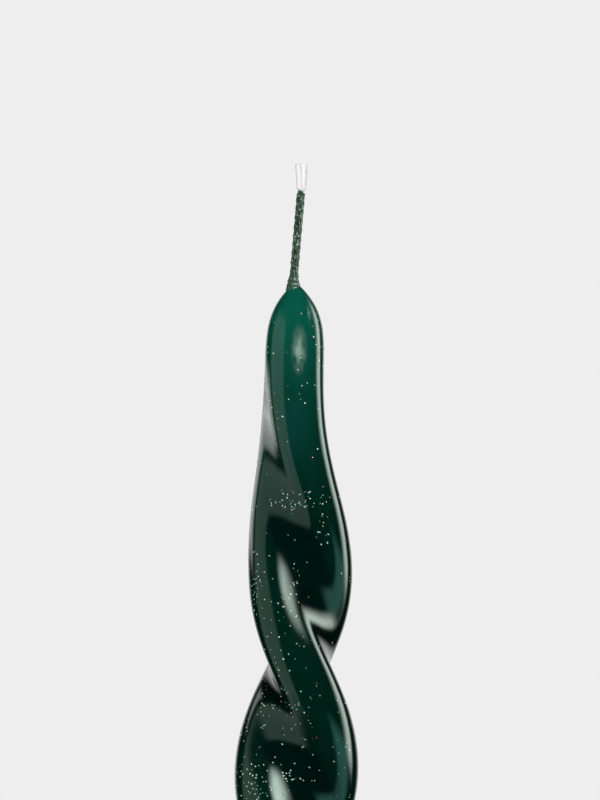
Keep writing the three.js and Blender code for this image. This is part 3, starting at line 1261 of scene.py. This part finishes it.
@dataclass(frozen=True)
class LightPanel:
    """A curved light, given by the directions that it fills as seen from the candle, in degrees.

    Azimuth runs from its left to its right edge, with 0 on the camera's side and 90 on the candle's right.
    Elevation runs from its low to its high edge, above the horizon. The fades are the widths over which it
    dims towards its left, right, low and high edges."""

    name: str
    azimuth: Span
    elevation: Span
    radiance: float
    fades: tuple[float, float, float, float]
    colour: Colour = (1.0, 1.0, 1.0)
    lean: float = 0.0
    effect: Effect = Effect.MIRRORED
    distance: float = 1.5
    seen_from: float = 170 * MM
    columns: int = 24
    rows: int = 12

    def direction(self, across: float, up: float) -> Vector:
        """Where a point of the panel lies from the candle.

        Args:
            across: the share of the way from its left to its right edge.
            up: the share of the way from its low to its high edge.

        Returns:
            The direction, of length one.
        """
        left, right = self.azimuth
        low, high = self.elevation
        turn = math.radians(left + (right - left) * across + self.lean * (0.5 - up))
        rise = math.radians(low + (high - low) * up)
        return Vector((math.sin(turn) * math.cos(rise), -math.cos(turn) * math.cos(rise), math.sin(rise)))

    def glow(self) -> bpy.types.Material:
        """Makes the light's material, clear and fading out towards the panel's edges.

        Returns:
            The material.
        """
        material = bpy.data.materials.new(self.name)
        material.use_nodes = True
        tree = Nodes(material.node_tree)
        across, up, _ = tree.parts(tree.made("ShaderNodeUVMap"))
        wide, tall = self.azimuth[1] - self.azimuth[0], self.elevation[1] - self.elevation[0]
        insets = (across * wide, (1.0 - across) * wide, up * tall, (1.0 - up) * tall)
        left, right, low, high = (ease(inset / fade) for inset, fade in zip(insets, self.fades))
        strength = left * right * low * high * self.radiance
        shine = tree.made("ShaderNodeEmission", Color=self.colour, Strength=strength)
        clear = tree.made("ShaderNodeBsdfTransparent")
        both = tree.made("ShaderNodeAddShader", Shader=shine, Shader_001=clear)
        tree.node("ShaderNodeOutputMaterial", Surface=both)
        return material

    def build(self) -> bpy.types.Object:
        """Makes the panel.

        Returns:
            The panel, bent round the point of the candle's axis that it is seen from.
        """
        target = Vector((0.0, 0.0, self.seen_from))
        shares = [
            (column / self.columns, row / self.rows)
            for row in range(self.rows + 1)
            for column in range(self.columns + 1)
        ]
        step = self.columns + 1
        faces = [
            (first, first + step, first + step + 1, first + 1)
            for row in range(self.rows)
            for first in range(row * step, row * step + self.columns)
        ]
        mesh = bpy.data.meshes.new(self.name)
        mesh.from_pydata([target + self.direction(*place) * self.distance for place in shares], [], faces)
        layer = mesh.uv_layers.new(name="panel")
        for loop in mesh.loops:
            layer.data[loop.index].uv = shares[loop.vertex_index]
        mesh.materials.append(self.glow())
        panel = bpy.data.objects.new(self.name, mesh)
        bpy.context.scene.collection.objects.link(panel)
        panel.visible_camera = False
        panel.visible_shadow = False
        panel.visible_glossy = self.effect is Effect.MIRRORED
        panel.visible_diffuse = self.effect is Effect.SOFT
        return panel


@dataclass(frozen=True)
class Studio:
    """A pale floor that fades into a pale backdrop, with soft lights round the candle."""

    backdrop: Colour = (0.855, 0.855, 0.855)
    front_level: float = 0.004
    pale_from: float = 0.75
    pale_rise: float = 0.18
    floor_radius: float = 1.9
    floor_fade: float = 0.9
    floor_colours: tuple[Colour, Colour] = ((0.76, 0.76, 0.75), (0.8, 0.8, 0.8))
    floor_clouds: Pattern = Pattern(0.2)
    panels: tuple[LightPanel, ...] = (
        LightPanel("overhead_box", (4, 94), (27, 88), radiance=13.2, fades=(34, 33, 20, 20)),
        LightPanel(
            "right_strip", (87, 125), (-30, 46), radiance=6.4, fades=(22, 14, 18, 24),
            colour=(0.96, 1.0, 0.98), lean=-20,
        ),
        LightPanel(
            "left_wall", (-112, -40), (-44, 43), radiance=0.8, fades=(14, 10, 16, 16),
            colour=(0.78, 1.0, 0.92), lean=-12,
        ),
        LightPanel(
            "rear_card", (-153, -109), (-9, 16), radiance=1.75, fades=(13, 9, 7, 8),
            distance=120 * MM, seen_from=195 * MM,
        ),
        LightPanel(
            "low_right_card", (36, 104), (-60, -8), radiance=1.2, fades=(20, 24, 20, 16),
            colour=(0.4, 1.0, 0.98),
        ),
        LightPanel(
            "front_fill", (-60, 60), (-10, 60), radiance=1.65, fades=(6, 6, 6, 6), effect=Effect.SOFT
        ),
    )

    def world(self) -> None:
        """Makes the backdrop: pale to the camera, but dark in front of the candle where it is mirrored."""
        world = bpy.data.worlds.new("backdrop")
        bpy.context.scene.world = world
        world.use_nodes = True
        tree = Nodes(world.node_tree)
        _, behind, _ = tree.parts(Field(tree.node("ShaderNodeTexCoord").outputs["Generated"]))
        mirrored = between(self.front_level, 1.0, ease((behind - self.pale_from) / self.pale_rise))
        seen = Field(tree.node("ShaderNodeLightPath").outputs["Is Camera Ray"])
        light = tree.made("ShaderNodeBackground", Color=self.backdrop, Strength=between(mirrored, 1.0, seen))
        tree.node("ShaderNodeOutputWorld", Surface=light)

    def floor(self) -> bpy.types.Object:
        """Makes the floor.

        Returns:
            The floor.
        """
        bpy.ops.mesh.primitive_circle_add(vertices=96, radius=self.floor_radius, fill_type="NGON")
        floor = bpy.context.object
        floor.name = "studio_floor"
        floor.visible_glossy = False
        paint = Paint("studio_floor")
        length = paint.node("ShaderNodeVectorMath", {"operation": "LENGTH"}, Vector=paint.place)
        away = Field(length.outputs["Value"]) - (self.floor_radius - self.floor_fade)
        paint.set(
            Base_Color=paint.mix(*self.floor_colours, paint.noise(self.floor_clouds)),
            Alpha=1.0 - ease(away / self.floor_fade),
            Roughness=0.9,
        )
        floor.data.materials.append(paint.material)
        return floor

    def build(self) -> None:
        """Makes the backdrop, the floor and the lights."""
        self.world()
        self.floor()
        for panel in self.panels:
            panel.build()
        LOG.info("studio: %d light panels", len(self.panels))


@dataclass(frozen=True)
class Viewpoint:
    """The camera: level with the upper part of the candle, and far enough away to see it undistorted."""

    middle_x: float = 1.1 * MM
    middle_z: float = 211.7 * MM
    distance: float = 2.0
    view_height: float = 192 * MM

    def build(self) -> bpy.types.Object:
        """Makes the camera and gives it to the scene.

        Returns:
            The camera.
        """
        camera = bpy.data.objects.new("camera", bpy.data.cameras.new("camera"))
        bpy.context.scene.collection.objects.link(camera)
        camera.data.lens = camera.data.sensor_width * self.distance / self.view_height
        camera.location = (self.middle_x, -self.distance, self.middle_z)
        camera.rotation_euler = (math.pi / 2, 0.0, 0.0)
        bpy.context.scene.camera = camera
        return camera


def main() -> None:
    """Builds the studio and the candle."""
    logging.basicConfig(level=logging.INFO, format="%(name)s %(message)s")
    bpy.context.scene.view_settings.view_transform = "Standard"
    Viewpoint().build()
    Studio().build()
    WaxCore().build()
    skin = DyedSkin().build()
    Glitter().build(skin)
    PlaitedWick().build()
    WickWaxCoat().build()


if __name__ == "__main__":
    main()
